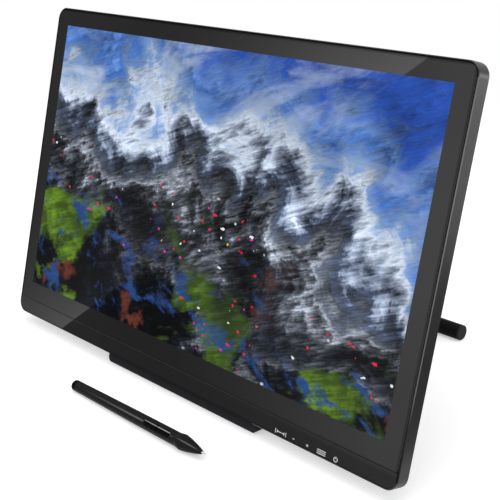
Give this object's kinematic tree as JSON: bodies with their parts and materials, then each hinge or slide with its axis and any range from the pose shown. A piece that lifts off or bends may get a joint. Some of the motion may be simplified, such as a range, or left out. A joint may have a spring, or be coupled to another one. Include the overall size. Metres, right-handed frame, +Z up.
{
  "type": "graphics tablet with screen",
  "caption": "Pen display on an easel stand: flat glass front in a thin frame, sloped rear cover, hinged leg with a round rear bar, release lever, edge buttons and a pen.",
  "frame": {"origin": "centre of the flat underside of the front foot's rubber pad, on the desk", "axes": "+X to the right seen from the front, +Y backwards, +Z up"},
  "size_m": [0.514, 0.3679, 0.3236],
  "materials": {
    "frame_plastic": "satin moulded",
    "cover_plastic": "fine moulded grain",
    "chin_plastic": "satin moulded",
    "front_glass": "polished, dark border",
    "picture": "lit picture",
    "tape": "matt",
    "optical_sheet": "frosted",
    "circuit_board": "solder resist",
    "tin_plate": "plain",
    "shield_aluminium": "plain",
    "socket_metal": "nickel plated",
    "screw_steel": "blackened",
    "button_plastic": "satin",
    "stand_steel": "fine black powder coat",
    "foot_plastic": "satin",
    "foot_rubber": "matt",
    "shaft_steel": "bright",
    "bar_cap_plastic": "satin",
    "spring_steel": "oiled",
    "pen_plastic": "satin",
    "pen_button_plastic": "gloss",
    "nib_plastic": "plain",
    "cell_wrap": "shrink wrap",
    "copper": "enamelled wire"
  },
  "bodies": {
    "display": {"front_frame": "frame_plastic", "front_glass": "front_glass", "glass_tape": "tape", "chin_strip": "chin_plastic", "lcd_cell": "picture", "diffuser_sheets": "optical_sheet", "light_guide": "optical_sheet", "led_bar": "circuit_board", "backlight_tray": "tin_plate", "digitizer_board": "circuit_board", "shield_plate": "shield_aluminium", "main_board": "circuit_board", "driver_board": "circuit_board", "board_spacers": "tin_plate", "board_screws": "screw_steel", "rear_cover": "cover_plastic", "cover_screws": "screw_steel", "dc_jack": "button_plastic", "usb_socket": "socket_metal", "hdmi_socket": "socket_metal", "vga_socket": "socket_metal", "button_switches": "button_plastic", "button_board": "circuit_board", "stand_plate": "stand_steel", "stand_screws": "screw_steel", "front_foot": "foot_plastic", "foot_screws": "screw_steel", "foot_pad": "foot_rubber", "hinge_shaft": "shaft_steel", "shaft_nuts": "screw_steel", "hinge_washers": "spring_steel"},
    "leg": {"leg_plate": "stand_steel", "clutch_housing": "foot_plastic", "clutch_spring": "spring_steel", "clutch_screws": "screw_steel", "lever_pin": "shaft_steel", "rear_bar": "shaft_steel", "bar_sleeves": "foot_rubber", "bar_caps": "bar_cap_plastic"},
    "release_lever": {"release_lever": "foot_plastic"},
    "pen": {"pen_barrel": "pen_plastic", "pen_nose": "pen_plastic", "pen_cell": "cell_wrap", "pen_board": "circuit_board", "pen_coil": "copper"},
    "pen_nib": {"pen_nib": "nib_plastic"},
    "pen_cap": {"pen_cap": "pen_plastic"},
    "pen_rear_button": {"pen_rear_button": "pen_button_plastic"},
    "pen_front_button": {"pen_front_button": "pen_button_plastic"},
    "auto_button": {"auto_button": "button_plastic"},
    "less_button": {"less_button": "button_plastic"},
    "more_button": {"more_button": "button_plastic"},
    "menu_button": {"menu_button": "button_plastic"},
    "power_button": {"power_button": "button_plastic"}
  },
  "joints": [
    {"name": "leg_hinge", "type": "hinge", "parent": "display", "child": "leg", "pos_m": [0, 0.07601, 0.18085], "axis": [1, 0, 0], "range_deg": [-4, 93]},
    {"name": "lever_pull", "type": "hinge", "parent": "leg", "child": "release_lever", "pos_m": [0, 0.11041, 0.16896], "axis": [1, 0, 0], "range_deg": [0, 15], "stiffness_Nm_per_rad": 0.6, "springref_deg": -11.46},
    {"name": "auto_press", "type": "slide", "parent": "display", "child": "auto_button", "axis": [0, 0.229, 0.9734], "range_m": [0, 0.0005], "stiffness_N_per_m": 900, "springref_m": -0.0004},
    {"name": "less_press", "type": "slide", "parent": "display", "child": "less_button", "axis": [0, 0.229, 0.9734], "range_m": [0, 0.0005], "stiffness_N_per_m": 900, "springref_m": -0.0004},
    {"name": "more_press", "type": "slide", "parent": "display", "child": "more_button", "axis": [0, 0.229, 0.9734], "range_m": [0, 0.0005], "stiffness_N_per_m": 900, "springref_m": -0.0004},
    {"name": "menu_press", "type": "slide", "parent": "display", "child": "menu_button", "axis": [0, 0.229, 0.9734], "range_m": [0, 0.0005], "stiffness_N_per_m": 900, "springref_m": -0.0004},
    {"name": "power_press", "type": "slide", "parent": "display", "child": "power_button", "axis": [0, 0.229, 0.9734], "range_m": [0, 0.0005], "stiffness_N_per_m": 900, "springref_m": -0.0004},
    {"name": "pen_lift", "type": "slide", "parent": "display", "child": "pen", "axis": [0, 0, 1], "range_m": [0, 0.15]},
    {"name": "nib_press", "type": "slide", "parent": "pen", "child": "pen_nib", "axis": [-0.9999, 0, -0.012], "range_m": [0, 0.0005], "stiffness_N_per_m": 1500, "springref_m": -0.0003},
    {"name": "cap_pull", "type": "slide", "parent": "pen", "child": "pen_cap", "axis": [-0.9999, 0, -0.012], "range_m": [0, 0.02]},
    {"name": "pen_rear_press", "type": "slide", "parent": "pen", "child": "pen_rear_button", "axis": [0.0079, 0.7547, -0.656], "range_m": [0, 0.0004], "stiffness_N_per_m": 900, "springref_m": -0.0004},
    {"name": "pen_front_press", "type": "slide", "parent": "pen", "child": "pen_front_button", "axis": [0.0079, 0.7547, -0.656], "range_m": [0, 0.0004], "stiffness_N_per_m": 900, "springref_m": -0.0004}
  ]
}
